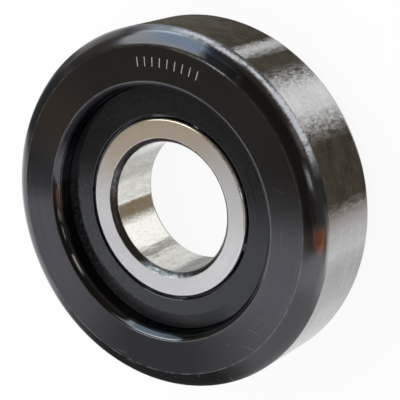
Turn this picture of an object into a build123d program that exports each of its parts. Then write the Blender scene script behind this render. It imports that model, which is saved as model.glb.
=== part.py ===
from build123d import *

# Forklift mast roller: a thick-walled outer ring that rolls in the mast channel on its own sealed
# deep-groove ball bearing. The inner ring slides onto the carriage's stub shaft.
# Sizes are in millimetres and degrees. The roller turns about Z, the front face points up (+Z),
# and the origin is the centre of the bore at mid-width.

import math
import os

# Headline sizes
bore_diameter = 55.0
tread_diameter = 152.0
roller_width = 45.0
inner_ring_width = 29.0

# Balls and raceways
ball_diameter = 20.638
ball_count = 8
pitch_diameter = 87.5
race_clearance = 0.15  # from a ball to the bottom of each raceway
outer_groove_radius = 10.94
inner_groove_radius = 10.63
outer_land_rise = 4.15  # how far each land stands above the bottom of its raceway
inner_land_rise = 4.3

# Outer ring
shoulder_round = 9.1
shoulder_crease = 9.0  # angle between the round and the flat face where they meet
grinding_allowance = 0.2  # taken off the tread after the shoulders were turned
recess_step = 1.45  # from the land out to the wall of the recess
recess_edge_width = 2.8
recess_edge_depth = 3.8

# Inner ring corners
bore_corner_width = 2.2  # along the face
bore_corner_depth = 2.8  # along the bore
bore_corner_bulge = 0.35
land_corner_round = 0.9

# Cage: two pressed halves of steel ribbon, riveted together between the balls
cage_sheet = 1.2
cage_ribbon_width = 8.6
cage_bend_round = 1.6
pocket_clearance = 0.25
rivet_shank_diameter = 3.0
rivet_hole_clearance = 0.05
rivet_head_diameter = 5.2
rivet_head_height = 1.1
rivet_head_rim = 0.3

# Seals: rubber rings that snap into the outer ring and run on the inner ring's lands
cage_to_seal_gap = 0.5
seal_web = 1.7
seal_dish = 0.4  # how far the outside face falls from its round edge to its rim
seal_bead_drop = 0.5
seal_bead_height = 1.3
seal_groove_depth = 1.3
seal_edge_gap = 0.15
seal_edge_bevel = 0.3
seal_mouth = 1.4  # open gap between the seal's rim and the inner ring's land
seal_lip_clearance = 0.25
seal_lip_tip = 0.45
seal_lip_root = 0.8
seal_lip_rise = 0.55
seal_lip_droop = 0.35

# Radii and heights that follow from the sizes above
ball_radius = ball_diameter / 2
pitch_radius = pitch_diameter / 2
tread_radius = tread_diameter / 2
bore_radius = bore_diameter / 2
face_height = roller_width / 2
inner_face_height = inner_ring_width / 2
outer_race_radius = pitch_radius + ball_radius + race_clearance
inner_race_radius = pitch_radius - ball_radius - race_clearance
outer_land_radius = outer_race_radius - outer_land_rise
inner_land_radius = inner_race_radius + inner_land_rise
recess_radius = outer_land_radius + recess_step
pocket_radius = ball_radius + pocket_clearance
cage_height = pocket_radius + cage_sheet
seal_inside_height = cage_height + cage_to_seal_gap
seal_rim_height = seal_inside_height + seal_web
seal_seat_height = seal_inside_height - seal_bead_drop
seal_groove_top = seal_seat_height + seal_bead_height
seal_groove_radius = recess_radius + seal_groove_depth


def arc_about(centre, start, end):
    """Arc of less than half a turn from start to end, round centre."""
    hub, first, last = Vector(*centre), Vector(*start), Vector(*end)
    towards = ((first + last) * 0.5 - hub).normalized()
    return ThreePointArc(first, hub + towards * (first - hub).length, last)


def bulged(start, end, corner, bulge):
    """Shallow arc from start to end, standing out towards corner by bulge."""
    first, last = Vector(*start), Vector(*end)
    middle = (first + last) * 0.5
    return ThreePointArc(first, middle + (Vector(*corner) - middle).normalized() * bulge, last)


def chain(*points):
    """Straight edges from each point to the next."""
    return [Line(start, end) for start, end in zip(points, points[1:])]


def turned(edges):
    """Solid of revolution about Z from the edges of a closed (radius, height) section."""
    return revolve(Plane.XZ * make_face(edges), Axis.Z)


def both_sides(upper_edges):
    """The edges of a ring's upper half and their mirror images below mid-width."""
    return upper_edges + [mirror(edge, about=Plane.XZ) for edge in upper_edges]


def groove_end(groove_radius, centre_radius, land_radius):
    """Height at which a raceway groove runs out at its land."""
    return math.sqrt(groove_radius**2 - (land_radius - centre_radius) ** 2)


def below(point):
    """The mirror image of a section point below mid-width."""
    return (point[0], -point[1])


def make_outer_ring():
    """Tread, rounded shoulders, recessed faces, raceway and the grooves that hold the seals."""
    crease = math.radians(shoulder_crease)
    round_radius = tread_radius + grinding_allowance - shoulder_round
    round_height = face_height - shoulder_round * math.cos(crease)
    face_edge = (round_radius + shoulder_round * math.sin(crease), face_height)
    tread_rise = math.sqrt(shoulder_round**2 - (tread_radius - round_radius) ** 2)
    tread_edge = (tread_radius, round_height + tread_rise)

    edge_round = (recess_edge_width**2 + recess_edge_depth**2) / (2 * recess_edge_width)
    wall_top = (recess_radius, face_height - recess_edge_depth)
    recess_edge = (recess_radius + recess_edge_width, face_height)

    race_centre = outer_race_radius - outer_groove_radius
    race_end = groove_end(outer_groove_radius, race_centre, outer_land_radius)
    race_edge = (outer_land_radius, race_end)

    upper = chain(
        race_edge,
        (outer_land_radius, seal_seat_height),
        (seal_groove_radius, seal_seat_height),
        (seal_groove_radius, seal_groove_top),
        (recess_radius, seal_groove_top),
        wall_top,
    )
    upper += [
        arc_about((recess_radius + edge_round, wall_top[1]), wall_top, recess_edge),
        Line(recess_edge, face_edge),
        arc_about((round_radius, round_height), face_edge, tread_edge),
    ]
    spans = [
        arc_about((race_centre, 0), below(race_edge), race_edge),
        Line(below(tread_edge), tread_edge),
    ]
    return turned(both_sides(upper) + spans)


def make_inner_ring():
    """Bore with rounded corners, ground faces, the seals' running lands and the raceway."""
    bore_end = (bore_radius, inner_face_height - bore_corner_depth)
    face_start = (bore_radius + bore_corner_width, inner_face_height)
    face_end = (inner_land_radius - land_corner_round, inner_face_height)
    land_start = (inner_land_radius, inner_face_height - land_corner_round)
    race_centre = inner_race_radius + inner_groove_radius
    race_end = groove_end(inner_groove_radius, race_centre, inner_land_radius)
    race_edge = (inner_land_radius, race_end)

    upper = [
        bulged(bore_end, face_start, (bore_radius, inner_face_height), bore_corner_bulge),
        Line(face_start, face_end),
        arc_about((face_end[0], land_start[1]), face_end, land_start),
        Line(land_start, race_edge),
    ]
    spans = [
        arc_about((race_centre, 0), race_edge, below(race_edge)),
        Line(below(bore_end), bore_end),
    ]
    return turned(both_sides(upper) + spans)


def make_front_seal():
    """Bead snapped under the recess wall, dished web, and a lip that runs on the inner ring."""
    edge_radius = recess_radius - seal_edge_gap
    edge_height = seal_rim_height + seal_dish
    bead_radius = seal_groove_radius - seal_edge_gap
    bead_top = seal_groove_top - seal_edge_gap
    bead_inside = outer_land_radius - seal_bead_drop
    rim_radius = inner_land_radius + seal_mouth
    lip_radius = inner_land_radius + seal_lip_clearance
    lip_bottom = seal_inside_height - seal_lip_droop
    corner = (bead_inside, seal_seat_height)
    return turned(
        chain(
            corner,
            (bead_radius, seal_seat_height),
            (bead_radius, bead_top),
            (edge_radius, bead_top),
            (edge_radius, edge_height - seal_edge_bevel),
            (edge_radius - seal_edge_bevel, edge_height),
            (rim_radius + seal_edge_bevel, seal_rim_height),
            (rim_radius, seal_rim_height - seal_edge_bevel),
            (rim_radius, seal_inside_height + seal_lip_rise),
            (lip_radius, lip_bottom + seal_lip_tip),
            (lip_radius, lip_bottom),
            (rim_radius + seal_lip_root, seal_inside_height),
            (bead_inside, seal_inside_height),
            corner,
        )
    )


def ball_places():
    """Where the balls' centres stand round the pitch circle."""
    return PolarLocations(pitch_radius, ball_count)


def rivet_places():
    """Where the rivets stand, midway between the balls."""
    return PolarLocations(pitch_radius, ball_count, start_angle=180 / ball_count)


def standing_disc(radius, height):
    """Cylinder on Z that stands on mid-width."""
    return Cylinder(radius, height, align=(Align.CENTER, Align.CENTER, Align.MIN))


def make_front_cage_half():
    """Flat ribbon pressed up into a round pocket over each ball, with a rivet hole between."""
    dome_radius = pocket_radius + cage_sheet
    inside = pitch_radius - cage_ribbon_width / 2
    outside = pitch_radius + cage_ribbon_width / 2
    sheet_radius = pitch_radius + dome_radius + 2 * cage_bend_round

    pressing = standing_disc(sheet_radius, cage_sheet) + ball_places() * Sphere(dome_radius)
    sheet_top = pressing.faces().filter_by(GeomType.PLANE).sort_by(Axis.Z)[-1]
    bends = [edge for outline in sheet_top.inner_wires() for edge in outline.edges()]
    pressing = fillet(bends, cage_bend_round)
    ribbon = standing_disc(outside, 2 * cage_height) - standing_disc(inside, 2 * cage_height)
    hole_radius = rivet_shank_diameter / 2 + rivet_hole_clearance
    return (
        (pressing & ribbon)
        - ball_places() * Sphere(pocket_radius)
        - rivet_places() * Cylinder(hole_radius, 4 * cage_sheet)
    )


def make_rivet():
    """Straight shank through both cage halves with a domed head on each."""
    shank_radius = rivet_shank_diameter / 2
    head_radius = rivet_head_diameter / 2
    rim_height = cage_sheet + rivet_head_rim
    top_height = cage_sheet + rivet_head_height
    dome_height = rivet_head_height - rivet_head_rim
    dome_round = (head_radius**2 + dome_height**2) / (2 * dome_height)

    rim = (head_radius, rim_height)
    top = (0, top_height)
    upper = chain((shank_radius, 0), (shank_radius, cage_sheet), (head_radius, cage_sheet), rim)
    upper.append(arc_about((0, top_height - dome_round), rim, top))
    return turned(both_sides(upper) + [Line(below(top), top)])


def save(name, solid):
    """Write one piece to its own file."""
    export_step(solid, f"parts/{name}.step")


os.makedirs("parts", exist_ok=True)

front_seal = make_front_seal()
front_cage_half = make_front_cage_half()
save("outer_ring", make_outer_ring())
save("inner_ring", make_inner_ring())
save("seal_front", front_seal)
save("seal_rear", mirror(front_seal, about=Plane.XY))
save("cage_half_front", front_cage_half)
save("cage_half_rear", mirror(front_cage_half, about=Plane.XY))
for number, place in enumerate(ball_places(), start=1):
    save(f"ball_{number}", place * Sphere(ball_radius))
for number, place in enumerate(rivet_places(), start=1):
    save(f"cage_rivet_{number}", place * make_rivet())
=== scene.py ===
import math

import bmesh
import bpy
from mathutils import Matrix, Quaternion, Vector


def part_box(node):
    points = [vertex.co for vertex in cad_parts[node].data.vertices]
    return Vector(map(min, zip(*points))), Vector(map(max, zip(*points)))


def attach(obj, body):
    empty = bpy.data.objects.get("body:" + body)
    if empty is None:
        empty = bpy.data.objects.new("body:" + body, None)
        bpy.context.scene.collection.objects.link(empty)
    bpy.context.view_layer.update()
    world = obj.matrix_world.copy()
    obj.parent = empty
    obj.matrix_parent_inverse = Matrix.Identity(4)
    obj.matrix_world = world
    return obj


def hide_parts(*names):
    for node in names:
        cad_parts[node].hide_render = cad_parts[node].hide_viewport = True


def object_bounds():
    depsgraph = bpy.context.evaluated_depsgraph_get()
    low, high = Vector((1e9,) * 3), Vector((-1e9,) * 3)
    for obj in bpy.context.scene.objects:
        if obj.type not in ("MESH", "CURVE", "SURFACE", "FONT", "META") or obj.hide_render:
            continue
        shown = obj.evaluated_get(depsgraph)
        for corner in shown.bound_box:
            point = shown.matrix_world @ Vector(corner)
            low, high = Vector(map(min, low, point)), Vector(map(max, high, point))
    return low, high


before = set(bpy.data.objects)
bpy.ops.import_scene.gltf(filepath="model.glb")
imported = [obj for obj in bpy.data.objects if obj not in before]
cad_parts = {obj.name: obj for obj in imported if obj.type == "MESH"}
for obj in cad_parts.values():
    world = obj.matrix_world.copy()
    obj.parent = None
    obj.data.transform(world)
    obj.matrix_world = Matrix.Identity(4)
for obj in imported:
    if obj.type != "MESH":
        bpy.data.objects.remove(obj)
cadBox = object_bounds()
mm = 0.001

# Sizes of the roller, in metres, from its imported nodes
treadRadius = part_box("outer_ring")[1].x
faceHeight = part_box("outer_ring")[1].z
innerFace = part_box("inner_ring")[1].z
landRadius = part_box("inner_ring")[1].x

mergeDistance = 0.0001 * mm
slack = 0.02 * mm                  # between a face of a ring and the line it belongs to
creaseAngle = math.radians(5)      # every arc is drawn in smaller steps than this


# Drawing a turned section: points are (radius, height), joined by straight runs and arcs
def startAt(bm, radius, height):
    return bm.verts.new((radius, 0, height))


def lineTo(bm, tip, radius, height):
    tip = bmesh.ops.extrude_vert_indiv(bm, verts=[tip])["verts"][0]
    tip.co = (radius, 0, height)
    return tip


def arcTo(bm, tip, centre, radius, height, steps):
    hub = Vector((centre[0], 0, centre[1]))
    begin = tip.co - hub
    end = Vector((radius, 0, height)) - hub
    turn = math.atan2(end.x, end.z) - math.atan2(begin.x, begin.z)
    turn = (turn + math.pi) % (2 * math.pi) - math.pi
    made = bmesh.ops.spin(bm, geom=[tip], cent=hub, axis=(0, 1, 0), angle=turn, steps=steps)
    tip = [v for v in made["geom_last"] if isinstance(v, bmesh.types.BMVert)][0]
    tip.co = (radius, 0, height)
    return tip


def mirrorDown(bm):
    bmesh.ops.mirror(bm, geom=bm.verts[:] + bm.edges[:], axis="Z", merge_dist=mergeDistance)


# Spins the section to a whole ring and breaks its sharp edges
def spinRing(bm, size):
    section = bm.verts[:] + bm.edges[:]
    bmesh.ops.spin(bm, geom=section, cent=(0, 0, 0), axis=(0, 0, 1),
                   angle=2 * math.pi, steps=size["steps"], use_merge=True)
    bmesh.ops.remove_doubles(bm, verts=bm.verts, dist=mergeDistance)
    bmesh.ops.recalc_face_normals(bm, faces=bm.faces)
    bm.normal_update()
    sharp = [e for e in bm.edges if len(e.link_faces) == 2
             and e.calc_face_angle() > math.radians(size["sharperThan"])]
    bmesh.ops.bevel(bm, geom=sharp, offset=size["edgeBreak"], offset_type="OFFSET", affect="EDGES",
                    segments=2, profile=0.5, material=-1)


def newPiece(bm, name, finishes):
    mesh = bpy.data.meshes.new(name)
    bm.to_mesh(mesh)
    bm.free()
    for finish in finishes:
        mesh.materials.append(finish)
    piece = bpy.data.objects.new(name, mesh)
    bpy.context.scene.collection.objects.link(piece)
    return piece


# Gives each face the finish that finishAt names for its radius and height
def finishRing(bm, name, finishes, finishAt):
    bm.normal_update()
    for face in bm.faces:
        centre = face.calc_center_median()
        finish = finishAt(math.hypot(centre.x, centre.y), abs(centre.z))
        face.material_index = finishes.index(finish)
        face.smooth = True
    for edge in bm.edges:
        edge.smooth = edge.calc_face_angle() < creaseAngle
    return newPiece(bm, name, finishes)


# Shader helpers
def feed(tree, socket, value):
    if isinstance(value, bpy.types.NodeSocket):
        tree.links.new(value, socket)
    else:
        socket.default_value = value


def add(tree, kind, sockets=None, **settings):
    node = tree.nodes.new(kind)
    for name, value in settings.items():
        setattr(node, name, value)
    for key, value in (sockets or {}).items():
        feed(tree, node.inputs[key], value)
    return node


def calc(tree, operation, *values, clamp=False):
    sockets = dict(enumerate(values))
    return add(tree, "ShaderNodeMath", sockets, operation=operation, use_clamp=clamp).outputs[0]


def times(tree, first, *others):
    for other in others:
        first = calc(tree, "MULTIPLY", first, other)
    return first


def plus(tree, first, second, clamp=False):
    return calc(tree, "ADD", first, second, clamp=clamp)


def minus(tree, first, second, clamp=False):
    return calc(tree, "SUBTRACT", first, second, clamp=clamp)


def most(tree, first, second):
    return calc(tree, "MAXIMUM", first, second)


def raised(tree, least, value, weight):
    return plus(tree, least, times(tree, value, weight))


def within(tree, value, low, high):
    return times(tree, calc(tree, "GREATER_THAN", value, low), calc(tree, "LESS_THAN", value, high))


# Sum of values, each with its own weight
def weighted(tree, weights, *values):
    parts = [times(tree, value, weight) for value, weight in zip(values, weights)]
    total = parts.pop()
    while parts:
        total = plus(tree, parts.pop(), total)
    return total


def rise(tree, value, low, high):
    sockets = {"Value": value, "From Min": low, "From Max": high}
    node = add(tree, "ShaderNodeMapRange", sockets, interpolation_type="SMOOTHSTEP")
    return node.outputs["Result"]


def between(tree, value, atNone, atFull):
    sockets = {"Value": value, "To Min": atNone, "To Max": atFull}
    return add(tree, "ShaderNodeMapRange", sockets).outputs["Result"]


def blendColour(tree, share, first, second):
    node = add(tree, "ShaderNodeMix", data_type="RGBA")
    for socket, value in ((node.inputs[0], share), (node.inputs[6], first), (node.inputs[7], second)):
        feed(tree, socket, (*value, 1) if isinstance(value, tuple) and len(value) == 3 else value)
    return node.outputs[2]


def layered(tree, colour, *layers):
    for share, tint in layers:
        colour = blendColour(tree, share, colour, tint)
    return colour


def noiseAt(tree, place, **sockets):
    dimensions = "4D" if "W" in sockets else "3D"
    node = add(tree, "ShaderNodeTexNoise", {"Vector": place, **sockets}, noise_dimensions=dimensions)
    return node.outputs["Fac"]


def newGroup(name, inputs, outputs):
    group = bpy.data.node_groups.new(name, "ShaderNodeTree")
    for label, value in inputs.items():
        socket = group.interface.new_socket(label, in_out="INPUT", socket_type="NodeSocketFloat")
        socket.default_value = value
    for label in outputs:
        group.interface.new_socket(label, in_out="OUTPUT", socket_type="NodeSocketFloat")
    entry = group.nodes.new("NodeGroupInput")
    leave = group.nodes.new("NodeGroupOutput")
    return group, entry.outputs, leave.inputs


def useGroup(tree, group, output=0, **inputs):
    return add(tree, "ShaderNodeGroup", inputs, node_tree=group).outputs[output]


def objectPlace(tree):
    return add(tree, "ShaderNodeTexCoord").outputs["Object"]


def objectAxes(tree):
    return add(tree, "ShaderNodeSeparateXYZ", {"Vector": objectPlace(tree)}).outputs


def fromAxis(tree, axes):
    squares = [times(tree, axes[label], axes[label]) for label in "XY"]
    return calc(tree, "SQRT", plus(tree, *squares))


def roundAxis(tree, axes):
    return calc(tree, "ARCTAN2", axes["Y"], axes["X"])


# Object coordinates with only a share of their height, so that a pattern is drawn out along the axis
def drawnPlace(tree, share):
    axes = objectAxes(tree)
    height = times(tree, axes["Z"], share)
    return add(tree, "ShaderNodeCombineXYZ", {"X": axes["X"], "Y": axes["Y"], "Z": height}).outputs[0]


def scaleFor(tree, size):
    return calc(tree, "DIVIDE", 1.0, size)


# Fixed shapes of the patterns; a span is where a pattern starts and where it is full
patterns = {
    "noiseMiddle": 0.5,
    "markSpan": (0.3, 0.7),
    "speckSpan": (0.0, 0.5),
    "smallestSpeck": 0.4,
    "patchSpan": (0.28, 0.72),
    "hairStretch": 0.07,
    "hairSpan": (0.07, 0.03),
    "faintestHair": 0.3,
    "lineSpan": (0.0, 0.9),
    "breakScale": 190.0,
    "breakSoftness": 0.12,
    "bristleScale": 900.0,
    "arcStretch": 0.14,
    "arcGrainScale": 700.0,
    "raggedReach": 4.0,        # degrees
    "crumbleStretch": 0.4,
    "crumbleContrast": 20.0,
    "scuffSpan": (0.50, 0.68),
}


# Lines that a lathe or grinder leaves round the axis: fine across the section, long round the ring
def makeTurningMarks():
    group, given, out = newGroup("turningMarks", {"Spacing": 0.4 * mm, "Run": 1.0, "Detail": 2.0},
                                 ["Marks"])
    axes = objectAxes(group)
    azimuth = roundAxis(group, axes)
    wide = calc(group, "DIVIDE", fromAxis(group, axes), given["Spacing"])
    high = calc(group, "DIVIDE", axes["Z"], given["Spacing"])
    along = times(group, calc(group, "COSINE", azimuth), given["Run"])
    across = times(group, calc(group, "SINE", azimuth), given["Run"])
    section = add(group, "ShaderNodeCombineXYZ", {"X": wide, "Y": high, "Z": along}).outputs[0]
    noise = noiseAt(group, section, W=across, Scale=1.0, Detail=given["Detail"])
    feed(group, out["Marks"], rise(group, noise, *patterns["markSpan"]))
    return group


# Cells as wide as Size: how far from a cell's middle, whether it is in Share, and its own chance
def cellsAt(group, given, place, **settings):
    sockets = {"Vector": place, "Scale": scaleFor(group, given["Size"])}
    cells = add(group, "ShaderNodeTexVoronoi", sockets, **settings)
    chance = add(group, "ShaderNodeSeparateColor", {"Color": cells.outputs["Color"]}).outputs
    return cells.outputs["Distance"], calc(group, "LESS_THAN", chance[0], given["Share"]), chance[1]


# Small separate grains or pits, as far apart as Size and present in Share of the cells
def makeSpecks():
    group, given, out = newGroup("specks", {"Size": 2 * mm, "Share": 0.1, "Width": 0.2}, ["Specks"])
    distance, there, chance = cellsAt(group, given, objectPlace(group))
    reach = times(group, given["Width"], plus(group, patterns["smallestSpeck"], chance))
    near = minus(group, 1.0, calc(group, "DIVIDE", distance, reach), clamp=True)
    feed(group, out["Specks"], times(group, there, rise(group, near, *patterns["speckSpan"])))
    return group


# Ragged cloudy areas, for dust, stains and uneven blackening
def makePatches():
    group, given, out = newGroup("patches", {"Size": 20 * mm, "Share": 0.5, "Softness": 0.1,
                                             "Seed": 0.0}, ["Patches", "Cloud"])
    noise = noiseAt(group, objectPlace(group), W=given["Seed"], Detail=6.0, Roughness=0.62,
                    Scale=scaleFor(group, given["Size"]))
    low, high = patterns["patchSpan"]
    middle = minus(group, high, times(group, given["Share"], high - low))
    feed(group, out["Patches"], rise(group, noise, minus(group, middle, given["Softness"]),
                                     plus(group, middle, given["Softness"])))
    feed(group, out["Cloud"], noise)
    return group


# A few short straight hairlines on the flats, all at one Angle
def makeHairlines():
    group, given, out = newGroup("hairlines", {"Size": 4 * mm, "Share": 0.1, "Angle": 0.5}, ["Lines"])
    axes = objectAxes(group)
    turnX = calc(group, "COSINE", given["Angle"])
    turnY = calc(group, "SINE", given["Angle"])
    along = plus(group, times(group, axes["X"], turnX), times(group, axes["Y"], turnY))
    aside = minus(group, times(group, axes["Y"], turnX), times(group, axes["X"], turnY))
    along = times(group, along, patterns["hairStretch"])
    place = add(group, "ShaderNodeCombineXYZ", {"X": along, "Y": aside}).outputs[0]
    distance, there, chance = cellsAt(group, given, place, voronoi_dimensions="2D")
    faintest = patterns["faintestHair"]
    feed(group, out["Lines"], times(group, there, rise(group, distance, *patterns["hairSpan"]),
                                    raised(group, faintest, chance, 1 - faintest)))
    return group


# A line round the ring at one radius and height, broken up along its length: wear, rust, painted
# highlights
def makeEdgeLine():
    group, given, out = newGroup("edgeLine", {"Radius": 68 * mm, "Height": 22.5 * mm,
                                              "Width": 0.4 * mm, "Break": 0.4, "Ragged": 0.0},
                                 ["Line"])
    place = objectPlace(group)
    axes = objectAxes(group)
    aside = minus(group, fromAxis(group, axes), given["Radius"])
    over = minus(group, calc(group, "ABSOLUTE", axes["Z"]), given["Height"])
    distance = calc(group, "SQRT", plus(group, times(group, aside, aside), times(group, over, over)))
    near = minus(group, 1.0, calc(group, "DIVIDE", distance, given["Width"]))
    bristle = noiseAt(group, place, Scale=patterns["bristleScale"], Detail=5.0, Roughness=0.6)
    shift = times(group, minus(group, bristle, patterns["noiseMiddle"]), given["Ragged"])
    near = rise(group, plus(group, near, shift, clamp=True), *patterns["lineSpan"])
    breaks = noiseAt(group, place, Scale=patterns["breakScale"], Detail=6.0, Roughness=0.68)
    whole = rise(group, breaks, minus(group, given["Break"], patterns["breakSoftness"]),
                 plus(group, given["Break"], patterns["breakSoftness"]))
    feed(group, out["Line"], times(group, near, whole))
    return group


# Inside an arc of the ring, from the Start azimuth to the End one, each end soft by its own degrees
def makeArcOf():
    group, given, out = newGroup("arcOf", {"Start": -30.0, "End": 30.0, "StartSoft": 5.0,
                                           "EndSoft": 5.0, "Ragged": 1.0}, ["Inside"])
    middle = times(group, plus(group, given["Start"], given["End"]), 0.5)
    half = times(group, minus(group, given["End"], given["Start"]), 0.5)
    turned = minus(group, roundAxis(group, objectAxes(group)), calc(group, "RADIANS", middle))
    off = calc(group, "DEGREES", calc(group, "ARCTAN2", calc(group, "SINE", turned),
                                      calc(group, "COSINE", turned)))
    grain = noiseAt(group, drawnPlace(group, patterns["arcStretch"]), Detail=6.0, Roughness=0.68,
                    Scale=patterns["arcGrainScale"])
    ragged = times(group, given["Ragged"], patterns["raggedReach"])
    off = plus(group, off, times(group, minus(group, grain, patterns["noiseMiddle"]), ragged))
    before = minus(group, 0.0, half)
    opening = rise(group, off, minus(group, before, given["StartSoft"]),
                   plus(group, before, given["StartSoft"]))
    closing = rise(group, off, plus(group, half, given["EndSoft"]), minus(group, half, given["EndSoft"]))
    feed(group, out["Inside"], times(group, opening, closing))
    return group


# Breaks the thin parts of a band up into small grains, and leaves its full and empty parts whole; the
# bands are painted reflections and rubbed streaks with painted highlights
def makeCrumble():
    group, given, out = newGroup("crumble", {"Film": 0.5, "Size": 1 * mm, "Strength": 1.0}, ["Film"])
    noise = noiseAt(group, drawnPlace(group, patterns["crumbleStretch"]), Detail=5.0, Roughness=0.7,
                    Distortion=0.8, Scale=scaleFor(group, given["Size"]))
    grain = times(group, minus(group, noise, patterns["noiseMiddle"]), patterns["crumbleContrast"])
    thin = times(group, given["Film"], minus(group, 1.0, given["Film"]))
    change = times(group, thin, grain, given["Strength"])
    feed(group, out["Film"], plus(group, given["Film"], change, clamp=True))
    return group


# Fine dark scuffs across a ground surface, drawn out along the axis
def makeScuffs():
    group, given, out = newGroup("scuffs", {"Size": 0.8 * mm, "Drawn": 0.25}, ["Scuffs"])
    noise = noiseAt(group, drawnPlace(group, given["Drawn"]), Detail=6.0, Roughness=0.72,
                    Distortion=0.6, Scale=scaleFor(group, given["Size"]))
    feed(group, out["Scuffs"], rise(group, noise, *patterns["scuffSpan"]))
    return group


turningMarks = makeTurningMarks()
specks = makeSpecks()
patches = makePatches()
hairlines = makeHairlines()
edgeLine = makeEdgeLine()
arcOf = makeArcOf()
crumble = makeCrumble()
scuffs = makeScuffs()
print("node groups made")


def newMaterial(name):
    material = bpy.data.materials.new(name)
    material.use_nodes = True
    tree = material.node_tree
    tree.nodes.clear()
    return material, tree, add(tree, "ShaderNodeOutputMaterial").inputs["Surface"]


def newFinish(name):
    material, tree, surface = newMaterial(name)
    shader = add(tree, "ShaderNodeBsdfPrincipled")
    feed(tree, surface, shader.outputs[0])
    return material, tree, shader.inputs


def turnedSheen(tree, shader, amount):
    shader["Anisotropic"].default_value = amount
    shader["Anisotropic Rotation"].default_value = 0.25      # spread across the marks
    roundRing = add(tree, "ShaderNodeTangent", direction_type="RADIAL", axis="Z")
    feed(tree, shader["Tangent"], roundRing.outputs[0])


def scratchBump(tree, shader, height, distance):
    bump = add(tree, "ShaderNodeBump", {"Height": height, "Distance": distance})
    feed(tree, shader["Normal"], bump.outputs["Normal"])


def insideArc(tree, *arc):
    labels = ("Start", "End", "StartSoft", "EndSoft", "Ragged")
    return useGroup(tree, arcOf, **dict(zip(labels, arc)))


# Arcs of the ring as (start, end, softness at each end, raggedness, share), degrees round from +X
def arcShare(tree, arcs):
    share = 0.0
    for *arc, amount in arcs:
        share = most(tree, share, times(tree, insideArc(tree, *arc), amount))
    return share


# The same arcs kept between two radii, which come before each share with their softness, all in mm
def patchShare(tree, areas):
    share = 0.0
    radius = calc(tree, "DIVIDE", fromAxis(tree, objectAxes(tree)), mm)
    for *arc, inner, outer, fade, amount in areas:
        there = times(tree, insideArc(tree, *arc), rise(tree, radius, inner - fade, inner + fade),
                      rise(tree, radius, outer + fade, outer - fade), amount)
        share = most(tree, share, there)
    return share


blackOxide = {
    "metallic": 0.96,
    "fineMarks": {"Spacing": 0.40 * mm, "Run": 0.6},
    "broadMarks": {"Spacing": 2.6 * mm, "Run": 0.4},
    "cloud": {"Size": 40 * mm, "Seed": 3.0},
    "toneWeights": (0.25, 0.25, 0.5),        # of the fine marks, the broad marks and the cloud
    "dust": (0.24, 0.23, 0.22),
    "grains": {"Size": 3.0 * mm, "Share": 0.14, "Width": 0.10},
    "grainShare": 0.5,
    "hairs": {"Size": 4 * mm, "Share": 0.10, "Angle": 0.9},
    "crossingHairs": {"Size": 5 * mm, "Share": 0.09, "Angle": -0.5},
    "hairShare": 0.35,
    # Lines on the face's crease and the recess edge: wear, and painted edge highlights
    "wornLineAndHighlight": (0.37, 0.34, 0.31),
    "wornLineAndHighlightShare": 0.32,
    "faceEdge": {"Radius": 68.5 * mm, "Height": faceHeight, "Width": 0.36 * mm, "Break": 0.47},
    "recessEdge": {"Radius": 54.3 * mm, "Height": faceHeight, "Width": 0.36 * mm, "Break": 0.40},
    # Rubbed streaks by the tread edge: bare steel, and bluish painted highlights
    "bareAndHighlitColour": (0.57, 0.60, 0.635),
    "bareAndHighlitShare": 0.9,
    "bareAndHighlitBreak": 0.36,
    "bareAndHighlitRagged": 1.3,
    "bareAndHighlitLeast": 0.55,
    "bareAndHighlitCloud": 0.9,                        # what the cloud adds
    "bareAndHighlitGrain": {"Size": 0.7 * mm, "Strength": 0.25},
    "bumpDepth": 0.002 * mm,
    "oiled": [(48.0, 104.0, 8.0, 8.0, 1.0, 1.0), (-14.0, 6.0, 5.0, 5.0, 1.0, 0.8)],
    "rubbedAndHighlit": [                              # radius, height and width in mm, and arc
        (75.44, 17.15, 2.8, (-91.0, -69.0, 5.0, 2.5, 2.0, 1.0)),
        (75.32, 17.42, 1.3, (-71.0, -56.0, 2.0, 2.0, 1.0, 1.0)),
        (75.02, 17.99, 1.9, (-57.0, -46.5, 2.5, 2.0, 2.0, 0.95)),
        (75.31, 17.43, 2.0, (-47.0, -33.0, 2.0, 4.0, 2.0, 0.95)),
        (74.27, 19.11, 1.6, (-90.0, -81.0, 2.0, 2.0, 1.0, 0.55)),
        (68.55, 22.48, 0.7, (-56.0, -33.0, 3.0, 3.0, 1.0, 0.50)),
    ],
}
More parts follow.
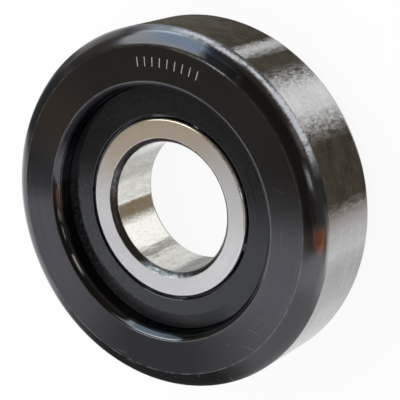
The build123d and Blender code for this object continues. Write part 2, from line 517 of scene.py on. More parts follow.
faceLook = {
    "name": "turnedBlackFace",
    "dark": (0.080, 0.079, 0.082),
    "light": (0.101, 0.101, 0.110),
    "roughness": (0.07, 0.12),
    "edgeTint": (0.5, 0.5, 0.52, 1),
    "sheen": 0.35,
    "oiled": False,
    "darker": 0.64,
    "matter": 0.0,
    "ticks": True,
    # Dull areas are painted shade, darkened towards black: the recess wall's lower part and dark face
    # sectors
    "dull": [(134.0, 164.0, 3.0, 4.0, 1.0, 50.0, 52.15, 0.3, 0.95),
             (119.0, 192.0, 24.0, 28.0, 1.0, 54.6, 80.0, 0.35, 1.0),
             (48.0, 64.0, 6.0, 5.0, 1.0, 54.6, 80.0, 0.35, 0.65)],
    "paintedLight": [
        # painted reflection: a lighter, warmer sector of the face
        ((0.150, 0.128, 0.112), [(16.0, 40.0, 14.0, 12.0, 1.0, 54.6, 80.0, 0.35, 0.8)]),
        # painted shade on the recess edge and wall
        ((0.030, 0.029, 0.030), [(-70.0, 5.0, 8.0, 10.0, 1.0, 51.0, 53.8, 0.4, 0.6),
                                 (66.0, 136.0, 10.0, 3.0, 1.0, 51.0, 54.75, 0.15, 0.9)]),
        # painted highlights: two glints on the recess wall
        ((0.92, 0.95, 1.0), [(93.0, 102.5, 1.2, 3.0, 0.6, 52.1, 52.65, 0.12, 1.0),
                             (71.5, 76.0, 2.0, 1.5, 0.6, 52.1, 52.9, 0.2, 0.3)]),
        # painted shade: the recess wall at its darkest
        ((0.012, 0.012, 0.014), [(-12.0, 41.0, 10.0, 8.0, 1.0, 51.0, 53.6, 0.35, 0.92)]),
        # painted shade on the recess's rounded edge
        ((0.045, 0.045, 0.050), [(-10.0, 46.0, 10.0, 8.0, 1.0, 53.5, 54.5, 0.15, 0.75)]),
        # painted shade on the recess wall, bluish
        ((0.038, 0.046, 0.055), [(138.0, 210.0, 2.0, 4.0, 1.0, 51.0, 53.5, 0.35, 1.0)]),
        # painted shade, deeper, on part of that wall
        ((0.020, 0.025, 0.024), [(157.0, 178.0, 6.0, 4.0, 1.0, 51.0, 53.5, 0.35, 0.8)]),
        # painted reflection: the recess wall lighter here
        ((0.140, 0.138, 0.146), [(-144.0, -92.0, 8.0, 8.0, 1.0, 51.8, 53.6, 0.3, 0.7)]),
        # painted highlight on the recess's rounded edge, reaching onto the face
        ((0.24, 0.27, 0.30), [(139.0, 164.0, 3.0, 3.0, 1.0, 53.7, 54.7, 0.15, 0.85)]),
        # painted shade: a darker sector of the face
        ((0.050, 0.050, 0.047), [(-112.0, -85.0, 6.0, 10.0, 1.0, 54.6, 80.0, 0.35, 0.50)]),
        # painted shade: a slightly darker sector of the face
        ((0.050, 0.048, 0.055), [(72.0, 112.0, 8.0, 8.0, 1.0, 54.6, 80.0, 0.35, 0.22)]),
    ],
}
shoulderLook = {
    "name": "oiledBlackShoulder",
    "dark": (0.072, 0.070, 0.071),
    "light": (0.092, 0.090, 0.094),
    "roughness": (0.12, 0.18),
    "edgeTint": (0.85, 0.85, 0.88, 1),
    "sheen": 0.3,
    "oiled": True,
    "darker": 0.8,
    "matter": 0.9,
    "ticks": False,
    # Dull areas are painted shade, darkened towards black and made less metallic, on dark shoulder
    # sectors
    "dull": [
        (112.0, 187.0, 20.0, 12.0, 1.0, 60.0, 80.0, 0.35, 1.0),
        (12.0, 44.0, 6.0, 5.0, 1.0, 60.0, 73.6, 0.5, 0.95),
        (-17.0, 22.0, 3.0, 6.0, 1.0, 72.6, 75.5, 0.5, 0.85),
        (-108.0, -97.0, 3.0, 3.0, 1.0, 74.2, 80.0, 0.35, 0.85),
        (-113.0, -102.0, 3.0, 3.0, 1.0, 72.0, 75.5, 0.4, 0.80),
        (-60.0, -45.5, 2.0, 3.0, 1.0, 60.0, 72.3, 0.7, 1.0),
    ],
    "paintedLight": [
        # painted reflection: a lighter sector of the shoulder
        ((0.140, 0.137, 0.144), [(-133.0, -114.5, 5.0, 3.5, 1.0, 60.0, 77.0, 0.4, 0.60)]),
        # painted highlight: bluish, by the tread edge
        ((0.25, 0.31, 0.36), [(-36.0, -23.0, 4.0, 4.0, 1.0, 74.1, 75.9, 0.7, 0.70)]),
        # painted reflection: bluish, on the middle of the shoulder
        ((0.052, 0.067, 0.090), [(-52.0, -26.0, 3.0, 8.0, 1.0, 70.6, 74.0, 0.8, 0.85)]),
        # painted highlight by the tread edge
        ((0.21, 0.21, 0.215), [(-136.0, -124.0, 6.0, 4.0, 1.0, 75.0, 77.0, 1.0, 0.6)]),
        # painted shade on the inner part of the shoulder
        ((0.030, 0.029, 0.030), [(-112.5, -56.0, 3.0, 4.0, 1.0, 69.3, 73.3, 0.7, 0.80)]),
        # painted reflection: a reddish spot on the shoulder
        ((0.098, 0.052, 0.038), [(-120.0, -113.5, 3.0, 3.0, 1.0, 72.2, 76.4, 0.9, 0.95)]),
        # painted highlight: a bright line at the tread edge
        ((0.42, 0.42, 0.43), [(-126.0, -115.0, 4.0, 6.0, 1.0, 75.65, 77.0, 0.2, 0.85)]),
    ],
}
indexTicks = {
    "count": 9,
    "middle": -32.5,       # degrees round from +X
    "span": 30.0,
    "inner": 60.2 * mm,
    "outer": 64.0 * mm,
    "width": 0.55 * mm,
    "reachDown": 0.2 * mm,
    "colour": (0.46, 0.43, 0.38),
    "metalLost": 0.8,
}


def tickMask(tree):
    own = indexTicks
    axes = objectAxes(tree)
    radius = fromAxis(tree, axes)
    step = math.radians(own["span"]) / own["count"]
    start = math.radians(own["middle"] - own["span"] / 2)
    halfStep = 0.5
    halfWidth = own["width"] / 2
    turn = calc(tree, "DIVIDE", minus(tree, roundAxis(tree, axes), start), step)
    aside = calc(tree, "ABSOLUTE", minus(tree, calc(tree, "FRACT", turn), halfStep))
    return times(tree, rise(tree, times(tree, aside, step, radius), halfWidth, halfWidth / 2),
                 within(tree, turn, 0.0, float(own["count"])),
                 within(tree, radius, own["inner"], own["outer"]),
                 calc(tree, "GREATER_THAN", axes["Z"], faceHeight - own["reachDown"]))


# Streaks round the shoulder: partly blackening rubbed through, partly painted highlights; stronger where
# the cloud is
def rubbedAndHighlitShare(tree, cloud):
    own = blackOxide
    share = 0.0
    strength = raised(tree, own["bareAndHighlitLeast"], cloud, own["bareAndHighlitCloud"])
    for radius, height, width, arc in own["rubbedAndHighlit"]:
        line = useGroup(tree, edgeLine, Radius=radius * mm, Height=height * mm, Width=width * mm,
                        Break=own["bareAndHighlitBreak"], Ragged=own["bareAndHighlitRagged"])
        line = times(tree, line, arcShare(tree, [arc]))
        share = most(tree, share, calc(tree, "MULTIPLY", line, strength, clamp=True))
    return useGroup(tree, crumble, Film=share, **own["bareAndHighlitGrain"])


def makeBlackOxide(look):
    own = blackOxide
    material, tree, shader = newFinish(look["name"])
    fine = useGroup(tree, turningMarks, **own["fineMarks"])
    broad = useGroup(tree, turningMarks, **own["broadMarks"])
    cloud = useGroup(tree, patches, "Cloud", **own["cloud"])
    tone = weighted(tree, own["toneWeights"], fine, broad, cloud)
    # painted shade: the dull areas
    dull = patchShare(tree, look["dull"])
    grains = useGroup(tree, specks, **own["grains"])
    hairs = most(tree, useGroup(tree, hairlines, **own["hairs"]),
                 useGroup(tree, hairlines, **own["crossingHairs"]))
    marks = most(tree, times(tree, grains, own["grainShare"]), times(tree, hairs, own["hairShare"]))
    # wear and painted edge highlights along the face's crease and the recess edge
    edgeWearAndHighlight = most(tree, useGroup(tree, edgeLine, **own["faceEdge"]),
                useGroup(tree, edgeLine, **own["recessEdge"]))
    edgeWearAndHighlight = times(tree, edgeWearAndHighlight, own["wornLineAndHighlightShare"])
    # rubbed streaks: bare steel and painted highlights
    bareAndHighlit = times(tree, rubbedAndHighlitShare(tree, cloud), own["bareAndHighlitShare"])
    # Colour: tone, painted light, painted shade in the dull areas, dust, then edge wear with painted
    # highlights
    colour = layered(tree, look["dark"], (tone, look["light"]),
                     *[(patchShare(tree, areas), tint) for tint, areas in look["paintedLight"]],
                     (times(tree, dull, look["darker"]), (0.0, 0.0, 0.0)),
                     (marks, own["dust"]), (edgeWearAndHighlight, own["wornLineAndHighlight"]), (bareAndHighlit, own["bareAndHighlitColour"]))
    lost = times(tree, dull, look["matter"])
    if look["ticks"]:
        cut = tickMask(tree)
        colour = blendColour(tree, cut, colour, indexTicks["colour"])
        lost = most(tree, lost, times(tree, cut, indexTicks["metalLost"]))
    feed(tree, shader["Base Color"], colour)
    shader["Metallic"].default_value = own["metallic"]
    feed(tree, shader["Metallic"], minus(tree, own["metallic"], lost))
    smoothest, roughest = look["roughness"]
    if look["oiled"]:
        feed(tree, shader["Coat Weight"], arcShare(tree, own["oiled"]))
        shader["Coat Roughness"].default_value = smoothest
    shader["Specular IOR Level"].default_value = 0.0
    shader["Specular Tint"].default_value = look["edgeTint"]
    feed(tree, shader["Roughness"], between(tree, tone, roughest, smoothest))
    turnedSheen(tree, shader, look["sheen"])
    scratchBump(tree, shader, fine, own["bumpDepth"])
    return material


faceOxide = makeBlackOxide(faceLook)
shoulderOxide = makeBlackOxide(shoulderLook)

# Ground steel carries painted reflection in arcs: bands of painted reflection and shade, dark on the
# tread, brown on the bore and warm on the inner face; painted reflection tints are (colour, how matt,
# arcs)
treadSteelLook = {
    "name": "groundTread",
    "bright": (0.66, 0.66, 0.66),
    "shade": (0.54, 0.54, 0.545),
    # painted reflection and shade: dark bands round the tread, in the listed arcs
    "filmAndPaintedReflection": (0.029, 0.0265, 0.019),
    "thinFilm": (0.077, 0.065, 0.047),
    "grain": (1.3 * mm, 0.5),
    "scuffs": (1.0 * mm, 0.20),
    "stain": 0.0,
    "roughness": (0.20, 0.28),
    "metallic": 0.94,
    "matter": 0.84,
    "sheen": 0.7,
    "paintedReflectionArcs": [
        (-109.6, -83.4, 3.0, 7.0, 0.8, 1.0),
        (-67.6, -55.8, 6.0, 2.4, 1.0, 1.0),
        (-51.9, -8.0, 1.9, 9.0, 1.0, 1.0),
    ],
    "cloudy": 0.03,
    # painted reflection tints round the tread: bluish, brown and dark; those on the hidden side copy
    # them
    "paintedReflectionTints": [
        ((0.145, 0.147, 0.158), 0.0,
         [(-150.0, -123.0, 28.0, 8.0, 0.6, 0.60), (-124.0, -108.0, 8.0, 3.0, 0.6, 0.42),
          (118.0, 142.0, 10.0, 6.0, 1.0, 0.42)]),
        ((0.22, 0.19, 0.16), 0.0,
         [(8.0, 52.0, 18.0, 14.0, 1.0, 0.55), (138.0, 164.0, 14.0, 14.0, 1.0, 0.35)]),
        ((0.17, 0.125, 0.095), 0.0, [(-114.5, -104.0, 4.0, 3.0, 0.8, 0.70)]),
        ((0.35, 0.37, 0.27), 0.0, [(-134.0, -130.0, 2.0, 4.0, 0.6, 0.12)]),
        ((0.04, 0.035, 0.025), 0.0, [(-58.5, -49.5, 1.0, 1.0, 0.6, 0.30)]),
    ],
}
boreSteelLook = {
    "name": "groundBore",
    "bright": (1.0, 1.0, 0.94),
    "shade": (0.95, 0.945, 0.885),
    # painted reflection and shade: brown bands round the bore, in the listed arcs
    "filmAndPaintedReflection": (0.20, 0.150, 0.090),
    "thinFilm": (0.27, 0.225, 0.155),
    "grain": (0.8 * mm, 0.38),
    "scuffs": (0.7 * mm, 0.28),
    "stain": 0.0,
    "roughness": (0.16, 0.25),
    "metallic": 1.0,
    "matter": 0.25,
    "sheen": 0.6,
    "paintedReflectionArcs": [
        (70.5, 86.5, 2.0, 6.0, 1.2, 1.0),
        (-118.0, -100.0, 0.8, 5.0, 1.0, 0.95),
    ],
    "cloudy": 0.16,
    # painted reflection tints round the bore: bluish, grey-brown and dark
    "paintedReflectionTints": [
        ((0.42, 0.49, 0.57), 0.0, [(-12.0, 26.0, 6.0, 10.0, 1.0, 0.30)]),
        ((0.24, 0.225, 0.20), 0.0,
         [(17.0, 53.0, 9.0, 8.0, 1.0, 0.68), (44.0, 69.0, 12.0, 1.0, 1.0, 0.40),
          (124.0, 150.0, 6.0, 6.0, 4.0, 0.46), (-168.0, -138.0, 6.0, 6.0, 2.0, 0.50),
          (-60.0, -34.0, 6.0, 4.0, 2.0, 0.55)]),
        ((0.14, 0.132, 0.105), 0.0, [(116.0, 125.0, 6.5, 5.0, 6.0, 0.84)]),
        ((0.13, 0.145, 0.13), 0.6, [(151.5, 184.0, 9.0, 4.0, 4.0, 0.84)]),
    ],
}
faceSteelLook = {
    "name": "groundFace",
    "bright": (0.71, 0.71, 0.695),
    "shade": (0.68, 0.678, 0.662),
    # painted reflection: a warm beige, darker side of the inner face
    "filmAndPaintedReflection": (0.60, 0.49, 0.33),
    "thinFilm": (0.65, 0.55, 0.41),
    "grain": (1.0 * mm, 0.1),
    "scuffs": (2.5 * mm, 0.03),
    "stain": 0.4,
    "roughness": (0.16, 0.21),
    "metallic": 0.74,
    "matter": 0.0,
    "sheen": 0.3,
    "paintedReflectionArcs": [(-70.0, 44.0, 22.0, 20.0, 4.0, 0.75)],
    "cloudy": 0.05,
    # painted reflection tint: the greyer side of the inner face
    "paintedReflectionTints": [((0.60, 0.60, 0.595), 0.0, [(84.0, 190.0, 20.0, 24.0, 1.0, 0.75)])],
}
groundSteel = {
    "fineMarks": {"Spacing": 0.25 * mm, "Run": 2.5, "Detail": 3.0},
    "broadMarks": {"Spacing": 1.6 * mm, "Run": 2.0},
    "mottle": {"Size": 8 * mm, "Softness": 0.12, "Seed": 7.0},
    "toneWeights": (0.35, 0.35, 0.30),       # of the fine marks, the broad marks and the mottle
    "paintedTintGrain": 3.0,                        # size of a haze's grain against the film's
    "scuffDrawn": 0.22,
    "scuffColour": (0.15, 0.15, 0.14),
    "paintedReflectionMottle": {"Size": 5 * mm, "Softness": 0.2, "Seed": 6.0},
    "paintedReflectionWeights": (0.3, 0.7),               # of the fine marks and the painted reflection's mottle
    "bumpDepth": 0.0006 * mm,
}
stain = {
    "colour": (0.20, 0.12, 0.07),
    "spots": {"Size": 5 * mm, "Share": 0.03, "Softness": 0.03, "Seed": 11.0},
    "rust": (0.15, 0.06, 0.045),
    "rustEdge": {"Radius": 37.15 * mm, "Height": 14.25 * mm, "Width": 0.7 * mm, "Break": 0.50},
    "rustArcs": [(-100.0, -60.0, 5.0, 8.0, 6.0, 0.8), (20.0, 34.0, 4.0, 4.0, 6.0, 0.7)],
}


def makeGroundSteel(look):
    own = groundSteel
    material, tree, shader = newFinish(look["name"])
    fine = useGroup(tree, turningMarks, **own["fineMarks"])
    broad = useGroup(tree, turningMarks, **own["broadMarks"])
    mottle = useGroup(tree, patches, **own["mottle"])
    tone = weighted(tree, own["toneWeights"], fine, broad, mottle)
    colour = blendColour(tree, tone, look["bright"], look["shade"])
    grainSize, grainStrength = look["grain"]
    lost = 0.0
    # painted reflection tints over the tone
    for tint, matt, arcs in look["paintedReflectionTints"]:
        share = useGroup(tree, crumble, Film=arcShare(tree, arcs), Strength=look["cloudy"],
                         Size=own["paintedTintGrain"] * grainSize)
        colour = blendColour(tree, share, colour, tint)
        if matt:
            lost = most(tree, lost, times(tree, share, matt))
    scuffSize, scuffShare = look["scuffs"]
    scuffed = useGroup(tree, scuffs, Size=scuffSize, Drawn=own["scuffDrawn"])
    # painted reflection bands, mottled, over the scuffs; the steel under them is less metallic
    paintedReflectionMottle = useGroup(tree, patches, **own["paintedReflectionMottle"])
    paintedReflectionTone = weighted(tree, own["paintedReflectionWeights"], fine, paintedReflectionMottle)
    paintedReflectionColour = blendColour(tree, paintedReflectionTone, look["filmAndPaintedReflection"], look["thinFilm"])
    filmAndPaintedReflection = useGroup(tree, crumble, Film=arcShare(tree, look["paintedReflectionArcs"]), Size=grainSize,
                    Strength=grainStrength)
    colour = layered(tree, colour, (times(tree, scuffed, scuffShare), own["scuffColour"]),
                     (filmAndPaintedReflection, paintedReflectionColour))
    if look["stain"]:
        spots = times(tree, useGroup(tree, patches, **stain["spots"]), look["stain"])
        rust = times(tree, useGroup(tree, edgeLine, **stain["rustEdge"]),
                     arcShare(tree, stain["rustArcs"]))
        colour = layered(tree, colour, (spots, stain["colour"]), (rust, stain["rust"]))
    feed(tree, shader["Base Color"], colour)
    shader["Metallic"].default_value = look["metallic"]
    if look["matter"]:
        shader["Specular IOR Level"].default_value = 0.0
        lost = most(tree, lost, times(tree, filmAndPaintedReflection, look["matter"]))
        feed(tree, shader["Metallic"], minus(tree, look["metallic"], lost))
    feed(tree, shader["Roughness"], between(tree, tone, *look["roughness"]))
    turnedSheen(tree, shader, look["sheen"])
    scratchBump(tree, shader, fine, own["bumpDepth"])
    return material


treadSteel = makeGroundSteel(treadSteelLook)
boreSteel = makeGroundSteel(boreSteelLook)
faceSteel = makeGroundSteel(faceSteelLook)

boreCorner = {
    "scale": (0.032, 0.028, 0.025),
    "scaleLight": (0.060, 0.054, 0.050),
    "scaleCloud": {"Size": 1.6 * mm, "Softness": 0.2, "Seed": 2.0},
    # Bare steel in arcs: a faint worn patch (the first arc), and painted highlights on the scaled corner
    # (the rest)
    "bareAndHighlit": (0.36, 0.40, 0.42),
    "bareAndHighlitCloud": {"Size": 1.5 * mm, "Softness": 0.2, "Seed": 5.0},
    "bareAndHighlitArcs": [(36.0, 60.0, 8.0, 8.0, 5.0, 0.35), (128.0, 172.0, 8.0, 10.0, 5.0, 1.0),
                 (-80.0, -40.0, 10.0, 10.0, 5.0, 1.0), (-150.0, -125.0, 10.0, 10.0, 5.0, 0.8)],
    # pale lines along both edges of the corner: painted edge highlights
    "edge": (0.78, 0.76, 0.73),
    "faceEdge": {"Radius": 29.75 * mm, "Height": 14.45 * mm, "Width": 0.35 * mm, "Break": 0.46},
    "boreEdge": {"Radius": 27.5 * mm, "Height": 11.75 * mm, "Width": 0.35 * mm, "Break": 0.42},
    "metallic": 0.85,
    "roughness": 0.26,
    "cloudRoughness": 0.15,
    "bumpDepth": 0.006 * mm,
}


def makeScaledCorner():
    own = boreCorner
    material, tree, shader = newFinish("scaledBoreCorner")
    cloud = useGroup(tree, patches, **own["scaleCloud"])
    # bare steel and painted highlights in the listed arcs
    bareAndHighlit = useGroup(tree, patches, **own["bareAndHighlitCloud"])
    bareAndHighlit = times(tree, bareAndHighlit, arcShare(tree, own["bareAndHighlitArcs"]))
    # painted edge highlights along both edges of the corner
    edges = most(tree, useGroup(tree, edgeLine, **own["faceEdge"]),
                 useGroup(tree, edgeLine, **own["boreEdge"]))
    colour = layered(tree, own["scale"], (cloud, own["scaleLight"]), (bareAndHighlit, own["bareAndHighlit"]),
                     (edges, own["edge"]))
    feed(tree, shader["Base Color"], colour)
    shader["Metallic"].default_value = own["metallic"]
    feed(tree, shader["Roughness"], raised(tree, own["roughness"], cloud, own["cloudRoughness"]))
    scratchBump(tree, shader, cloud, own["bumpDepth"])
    return material


scaledCorner = makeScaledCorner()

sealRubber = {
    "rubber": (0.0060, 0.0058, 0.0062),
    "dusty": (0.0145, 0.0145, 0.016),
    "filmAndPaintedReflection": {"Size": 22 * mm, "Softness": 0.16, "Seed": 4.0},
    "rings": {"Spacing": 0.55 * mm, "Run": 0.4},
    "filmLeast": 0.2,
    "filmRings": 0.5,
    # A lighter ragged patch on the inner part of the seal in the listed arc: partly dust, partly painted
    # light where the recess wall's shade ends
    "dustAndLitArc": [(54.0, 140.0, 8.0, 20.0, 6.0, 1.0)],
    "dustAndLitPatch": (0.016, 0.018, 0.022),
    "ragged": {"Size": 5 * mm, "Seed": 9.0},
    "patchShare": 0.30,
    "dustAndLitReach": (48.5 * mm, 43 * mm),      # radii where it starts and where it is full
    "powder": (0.060, 0.063, 0.070),
    "powderCloud": {"Size": 1.6 * mm, "Share": 0.42, "Softness": 0.08, "Seed": 15.0},
    "powderLeast": 0.09,
    "powderDirty": 0.16,
    "dust": (0.15, 0.155, 0.17),
    "grains": {"Size": 1.9 * mm, "Share": 0.14, "Width": 0.12},
    "grainShare": 0.4,
    # painted highlight along the seal's inner rim, in the dust colour
    "rim": {"Radius": 39.3 * mm, "Height": 14.0 * mm, "Width": 0.4 * mm, "Break": 0.3},
    "rimShare": 0.12,
    "roughness": (0.05, 0.12),
    "matt": [(104.0, 190.0, 14.0, 14.0, 1.0, 45.5, 52.0, 0.35, 1.0)],
    "mattRoughness": 0.42,
    "specular": 0.60,
    "tint": (0.90, 0.94, 1.0, 1),
    "bumpDepth": 0.008 * mm,
}


def makeSealRubber():
    own = sealRubber
    material, tree, shader = newFinish("dustyRubber")
    rings = useGroup(tree, turningMarks, **own["rings"])
    filmAndPaintedReflection = useGroup(tree, patches, **own["filmAndPaintedReflection"])
    filmAndPaintedReflection = times(tree, filmAndPaintedReflection, raised(tree, own["filmLeast"], rings, own["filmRings"]))
    # partly dust, partly painted light: the lighter patch in this arc
    dustAndLitArc = arcShare(tree, own["dustAndLitArc"])
    near = rise(tree, fromAxis(tree, objectAxes(tree)), *own["dustAndLitReach"])
    dustAndLitPatch = times(tree, useGroup(tree, patches, **own["ragged"]), own["patchShare"], dustAndLitArc, near)
    powder = times(tree, useGroup(tree, patches, **own["powderCloud"]),
                   raised(tree, own["powderLeast"], dustAndLitArc, own["powderDirty"]))
    grains = useGroup(tree, specks, **own["grains"])
    # dust grains, and a painted highlight along the inner rim
    rim = useGroup(tree, edgeLine, **own["rim"])
    dustAndRimHighlight = most(tree, times(tree, grains, own["grainShare"]), times(tree, rim, own["rimShare"]))
    colour = layered(tree, own["rubber"], (filmAndPaintedReflection, own["dusty"]), (dustAndLitPatch, own["dustAndLitPatch"]),
                     (powder, own["powder"]), (dustAndRimHighlight, own["dust"]))
    feed(tree, shader["Base Color"], colour)
    shader["Specular IOR Level"].default_value = own["specular"]
    shader["Specular Tint"].default_value = own["tint"]
    matt = times(tree, patchShare(tree, own["matt"]), own["mattRoughness"])
    dull = between(tree, filmAndPaintedReflection, *own["roughness"])
    feed(tree, shader["Roughness"], most(tree, dull, matt))
    scratchBump(tree, shader, rings, own["bumpDepth"])
    return material


rubber = makeSealRubber()

# Inside parts, as (name, colour, shade, roughness, size of the cloud between the two colours)
insideSteels = {
    "race": ("honedRaceway", (0.62, 0.61, 0.59), (0.55, 0.54, 0.51), 0.12, 8 * mm),
    "ball": ("polishedBall", (0.74, 0.74, 0.74), (0.68, 0.68, 0.67), 0.05, 6 * mm),
    "cage_half": ("pressedCage", (0.50, 0.49, 0.47), (0.40, 0.385, 0.36), 0.30, 5 * mm),
    "cage_rivet": ("rivet", (0.55, 0.54, 0.52), (0.46, 0.45, 0.43), 0.25, 2 * mm),
}
cloudRoughness = 0.08


def makePlainSteel(name, colour, shade, roughness, size):
    material, tree, shader = newFinish(name)
    cloud = useGroup(tree, patches, Size=size, Softness=0.2, Seed=1.0)
    feed(tree, shader["Base Color"], blendColour(tree, cloud, colour, shade))
    shader["Metallic"].default_value = 1.0
    feed(tree, shader["Roughness"], raised(tree, roughness, cloud, cloudRoughness))
    return material


insideFinishes = {start: makePlainSteel(*look) for start, look in insideSteels.items()}
raceSteel = insideFinishes.pop("race")
print("finishes made")

# Outer ring: turned section above mid-width, mirrored and spun. The seal's groove is given as
# (radius, height) in mm, and angles are in degrees
outerRing = {
    "raceRadius": 54.219 * mm,
    "grooveRadius": 10.94 * mm,
    "landRadius": 50.069 * mm,
    "sealGroove": [(50.069, 11.769), (52.819, 11.769), (52.819, 13.069), (51.519, 13.069)],
    "wallRadius": 51.519 * mm,
    "edgeWidth": 2.8 * mm,
    "edgeDepth": 3.8 * mm,
    "shoulderRound": 9.1 * mm,
    "shoulderCrease": 9.0,
    "groundOff": 0.2 * mm,
    "edgeBreak": 0.12 * mm,
    "sharperThan": 26,
    "raceSteps": 14,
    "edgeSteps": 20,
    "shoulderSteps": 24,
    "steps": 288,
}


def makeOuterRing():
    size = outerRing
    raceCentre = size["raceRadius"] - size["grooveRadius"]
    landEnd = math.sqrt(size["grooveRadius"] ** 2 - (size["landRadius"] - raceCentre) ** 2)
    edgeRound = (size["edgeWidth"] ** 2 + size["edgeDepth"] ** 2) / (2 * size["edgeWidth"])
    wallTop = faceHeight - size["edgeDepth"]
    crease = math.radians(size["shoulderCrease"])
    shoulder = size["shoulderRound"]
    centre = (treadRadius + size["groundOff"] - shoulder, faceHeight - shoulder * math.cos(crease))
    faceEdge = centre[0] + shoulder * math.sin(crease)
    treadEdge = centre[1] + math.sqrt(shoulder ** 2 - (treadRadius - centre[0]) ** 2)
    bm = bmesh.new()
    tip = startAt(bm, size["raceRadius"], 0)
    tip = arcTo(bm, tip, (raceCentre, 0), size["landRadius"], landEnd, size["raceSteps"])
    for radius, height in size["sealGroove"]:
        tip = lineTo(bm, tip, radius * mm, height * mm)
    tip = lineTo(bm, tip, size["wallRadius"], wallTop)
    tip = arcTo(bm, tip, (size["wallRadius"] + edgeRound, wallTop),
                size["wallRadius"] + size["edgeWidth"], faceHeight, size["edgeSteps"])
    tip = lineTo(bm, tip, faceEdge, faceHeight)
    tip = arcTo(bm, tip, centre, treadRadius, treadEdge, size["shoulderSteps"])
    lineTo(bm, tip, treadRadius, 0)
    mirrorDown(bm)
    spinRing(bm, size)

    def finishAt(radius, height):
        if radius > treadRadius - slack and height < treadEdge:
            return treadSteel
        if radius > faceEdge:
            return shoulderOxide
        if height < landEnd and radius > size["landRadius"] + slack:
            return raceSteel
        return faceOxide

    piece = finishRing(bm, "outerRing", [faceOxide, shoulderOxide, treadSteel, raceSteel], finishAt)
    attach(piece, "roller")
    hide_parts("outer_ring")


makeOuterRing()
print("outer ring made")

innerRing = {
    "boreRadius": 27.5 * mm,
    "cornerWidth": 2.2 * mm,
    "cornerDepth": 2.8 * mm,
    "cornerBulge": 0.35 * mm,
    "landRound": 0.9 * mm,
    "flatEnd": 0.1 * mm,       # keeps the shading of the flats flat
    "raceRadius": 33.281 * mm,
    "grooveRadius": 10.63 * mm,
    "edgeBreak": 0.10 * mm,
    "sharperThan": 26,
    "cornerSteps": 12,
    "landSteps": 20,
    "raceSteps": 14,
    "steps": 256,
}


def makeInnerRing():
    size = innerRing
    boreEnd = Vector((size["boreRadius"], innerFace - size["cornerDepth"]))
    faceStart = Vector((size["boreRadius"] + size["cornerWidth"], innerFace))
    chord = faceStart - boreEnd
    cornerRound = ((chord.length / 2) ** 2 + size["cornerBulge"] ** 2) / (2 * size["cornerBulge"])
    inward = Vector((chord.y, -chord.x)).normalized()
    hub = (boreEnd + faceStart) / 2 + inward * (cornerRound - size["cornerBulge"])
    faceEnd = landRadius - size["landRound"]
    landTop = innerFace - size["landRound"]
    raceCentre = size["raceRadius"] + size["grooveRadius"]
    landEnd = math.sqrt(size["grooveRadius"] ** 2 - (landRadius - raceCentre) ** 2)
    bm = bmesh.new()
    tip = startAt(bm, size["boreRadius"], 0)
    tip = lineTo(bm, tip, *boreEnd)
    tip = arcTo(bm, tip, hub, faceStart.x, faceStart.y, size["cornerSteps"])
    tip = lineTo(bm, tip, faceEnd - size["flatEnd"], innerFace)
    tip = lineTo(bm, tip, faceEnd, innerFace)
    tip = arcTo(bm, tip, (faceEnd, landTop), landRadius, landTop, size["landSteps"])
    tip = lineTo(bm, tip, landRadius, landTop - size["flatEnd"])
    tip = lineTo(bm, tip, landRadius, landEnd)
    arcTo(bm, tip, (raceCentre, 0), size["raceRadius"], 0, size["raceSteps"])
    mirrorDown(bm)
    spinRing(bm, size)

    def finishAt(radius, height):
        if radius < size["boreRadius"] + slack:
            return boreSteel
        if radius < faceStart.x and height < innerFace - slack:
            return scaledCorner
        if height > landTop - slack:
            return faceSteel
        return raceSteel

    piece = finishRing(bm, "innerRing", [faceSteel, boreSteel, scaledCorner, raceSteel], finishAt)
    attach(piece, "inner_ring")
    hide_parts("inner_ring")


makeInnerRing()
print("inner ring made")

seal = {
    "section": [       # (radius, height) in mm
        (49.569, 11.769), (52.669, 11.769), (52.669, 12.919), (51.369, 12.919),    # bead
        (51.369, 14.169), (39.2, 14.169),                                          # flat face
        (38.981, 13.969), (38.981, 12.819),                                        # rim
        (37.831, 12.369), (37.831, 11.919), (39.781, 12.269),                      # lip
        (49.569, 12.269),
    ],
    "edgeBreak": 0.25 * mm,
    "sharperThan": 60,
    "steps": 224,
}


def makeSeal(name, node, side):
    bm = bmesh.new()
    section = [(radius * mm, height * mm) for radius, height in seal["section"]]
    tip = first = startAt(bm, *section[0])
    for point in section[1:]:
        tip = lineTo(bm, tip, *point)
    bm.edges.new((tip, first))
    bmesh.ops.scale(bm, vec=(1, 1, side), verts=bm.verts)
    spinRing(bm, seal)
    piece = finishRing(bm, name, [rubber], lambda radius, height: rubber)
    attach(piece, "roller")
    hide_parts(node)


makeSeal("frontSeal", "seal_front", 1)
makeSeal("rearSeal", "seal_rear", -1)
print("seals made")

for name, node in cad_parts.items():
    for start, finish in insideFinishes.items():
        if name.startswith(start):
            for place in node.material_slots:
                place.material = finish
print("balls, cage and rivets dressed")

# Camera: where the roller's bore centre and axis stand in the photograph's own view
photo = {
    "size": 400,
    "boreCentre": (187.31, 200.66),   # pixels, from the top left corner
    "focalLength": 1411.7,            # pixels
    "distance": 590.9 * mm,           # along the view
    "tilt": 36.96,                    # degrees between the view and the roller's axis
    "turn": 157.48,                   # degrees, which way it is tilted
    "sensor": 36.0,
}


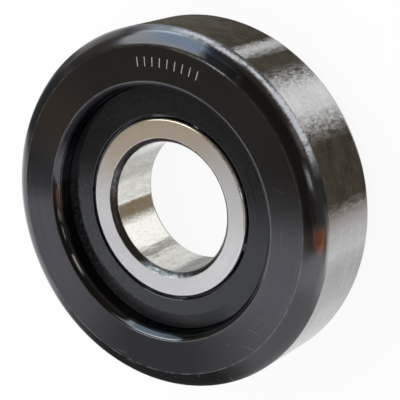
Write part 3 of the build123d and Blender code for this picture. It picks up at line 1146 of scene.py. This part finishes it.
def makeCamera():
    tilt, turn = math.radians(photo["tilt"]), math.radians(photo["turn"])
    scale = photo["distance"] / photo["focalLength"]
    middle = photo["size"] / 2
    centre = Vector(((photo["boreCentre"][0] - middle) * scale,
                     (middle - photo["boreCentre"][1]) * scale, -photo["distance"]))
    upAxis = Vector((math.sin(tilt) * math.cos(turn), -math.sin(tilt) * math.sin(turn),
                     math.cos(tilt)))
    away = (centre - upAxis * centre.dot(upAxis)).normalized()
    pose = Matrix((away.cross(upAxis), away, upAxis)).transposed().to_4x4()
    pose.translation = centre
    lens = bpy.data.cameras.new("camera")
    lens.sensor_width = photo["sensor"]
    lens.lens = photo["focalLength"] / photo["size"] * photo["sensor"]
    camera = bpy.data.objects.new("camera", lens)
    camera.matrix_world = pose.inverted()
    bpy.context.scene.collection.objects.link(camera)
    bpy.context.scene.camera = camera


makeCamera()

floor = {
    "radius": 14.0,
    "segments": 96,
    "gap": 0.01 * mm,       # below the roller
    "colour": (0.92, 0.92, 0.92, 1),
    "glow": 0.92,           # share that is plain white to the eye and to reflections
}


def makeFloor():
    bm = bmesh.new()
    bmesh.ops.create_circle(bm, cap_ends=True, radius=floor["radius"], segments=floor["segments"])
    bmesh.ops.translate(bm, vec=(0, 0, cadBox[0].z - floor["gap"]), verts=bm.verts)
    bmesh.ops.recalc_face_normals(bm, faces=bm.faces)
    material, tree, surface = newMaterial("paleFloor")
    matt = add(tree, "ShaderNodeBsdfDiffuse", {"Color": floor["colour"]})
    white = add(tree, "ShaderNodeEmission")
    path = add(tree, "ShaderNodeLightPath").outputs
    seen = most(tree, path["Is Camera Ray"],
                most(tree, path["Is Glossy Ray"], path["Is Transmission Ray"]))
    mixed = add(tree, "ShaderNodeMixShader", {0: times(tree, seen, floor["glow"]),
                                              1: matt.outputs[0], 2: white.outputs[0]})
    feed(tree, surface, mixed.outputs[0])
    piece = newPiece(bm, "floor", [material])


makeFloor()

# Studio: a pale side and a dim warm side, split like the reflections in the photograph
studio = {
    "paleMiddle": 147.0,       # degrees round from +X
    "paleSlope": -9.0,         # degrees that its middle lies above the horizon
    "paleReach": 78.2,         # degrees from there to its edge
    "edgeSoftness": 1.5,
    "pale": (0.98, 0.99, 1.06),
    "dim": (0.235, 0.202, 0.165),
    "dimAbove": (0.17, 0.147, 0.122),
    "aboveSpan": (0.1, 0.8),   # how steeply up a view must go for that colour
    "backdrop": (0.96, 0.96, 0.96),
    "backdropTop": 9.0,        # degrees above the floor
    "backdropFull": 0.3,       # share of that height where it is full
}


def direction(azimuth, elevation):
    azimuth, elevation = math.radians(azimuth), math.radians(elevation)
    return Vector((math.cos(elevation) * math.cos(azimuth), math.cos(elevation) * math.sin(azimuth),
                   math.sin(elevation)))


def makeWorld():
    world = bpy.data.worlds.new("studio")
    bpy.context.scene.world = world
    world.use_nodes = True
    tree = world.node_tree
    tree.nodes.clear()
    towards = add(tree, "ShaderNodeTexCoord").outputs["Generated"]
    up = add(tree, "ShaderNodeSeparateXYZ", {"Vector": towards}).outputs["Z"]
    middle = direction(studio["paleMiddle"], studio["paleSlope"])
    side = add(tree, "ShaderNodeVectorMath", {0: towards, 1: middle},
               operation="DOT_PRODUCT").outputs["Value"]
    edges = [math.cos(math.radians(studio["paleReach"] + turn * studio["edgeSoftness"]))
             for turn in (1, -1)]
    above = rise(tree, up, *studio["aboveSpan"])
    colour = blendColour(tree, above, studio["dim"], studio["dimAbove"])
    colour = blendColour(tree, rise(tree, side, *edges), colour, studio["pale"])
    top = math.sin(math.radians(studio["backdropTop"]))
    low = rise(tree, up, top, top * studio["backdropFull"])
    colour = blendColour(tree, low, colour, studio["backdrop"])
    shine = add(tree, "ShaderNodeBackground", {"Color": colour})
    add(tree, "ShaderNodeOutputWorld", {"Surface": shine.outputs[0]})


makeWorld()

# Soft boxes: azimuth, elevation and lean in degrees, width and height in metres, how bright the
# panel itself looks, its colour, and whether it is seen in reflections
softBoxes = {
    "highWindow": (6.5, 29.5, 20, 0.98, 1.8, 3.0, (0.88, 0.95, 1.0), True),
    "lowWindow": (-84, 4.5, 0, 2.3, 0.24, 2.0, (0.94, 0.97, 1.0), False),
    "slimWindow": (-104, 36, 0, 0.22, 0.46, 3.0, (0.88, 0.95, 1.0), True),
    "warmStrip": (-131.5, 25, 0, 0.44, 1.3, 0.85, (1.0, 0.49, 0.36), True),
    "topFill": (20, 78, 0, 1.4, 1.4, 1.2, (1.0, 1.0, 1.0), False),
}
boxDistance = 1.5


def makeSoftBox(name, azimuth, elevation, lean, width, height, brightness, colour, mirrored):
    lamp = bpy.data.lights.new(name, "AREA")
    lamp.shape = "RECTANGLE"
    lamp.size = width
    lamp.size_y = height
    lamp.color = colour
    lamp.energy = brightness * math.pi * width * height
    towards = direction(azimuth, elevation)
    turned = Quaternion((0, 0, 1), -math.radians(lean))
    piece = bpy.data.objects.new(name, lamp)
    piece.location = towards * boxDistance
    piece.rotation_euler = (towards.to_track_quat("Z", "Y") @ turned).to_euler()
    piece.visible_camera = False
    piece.visible_glossy = mirrored
    bpy.context.scene.collection.objects.link(piece)


for name, values in softBoxes.items():
    makeSoftBox(name, *values)
bpy.context.scene.view_settings.view_transform = "Standard"
print("camera, floor and lights set")
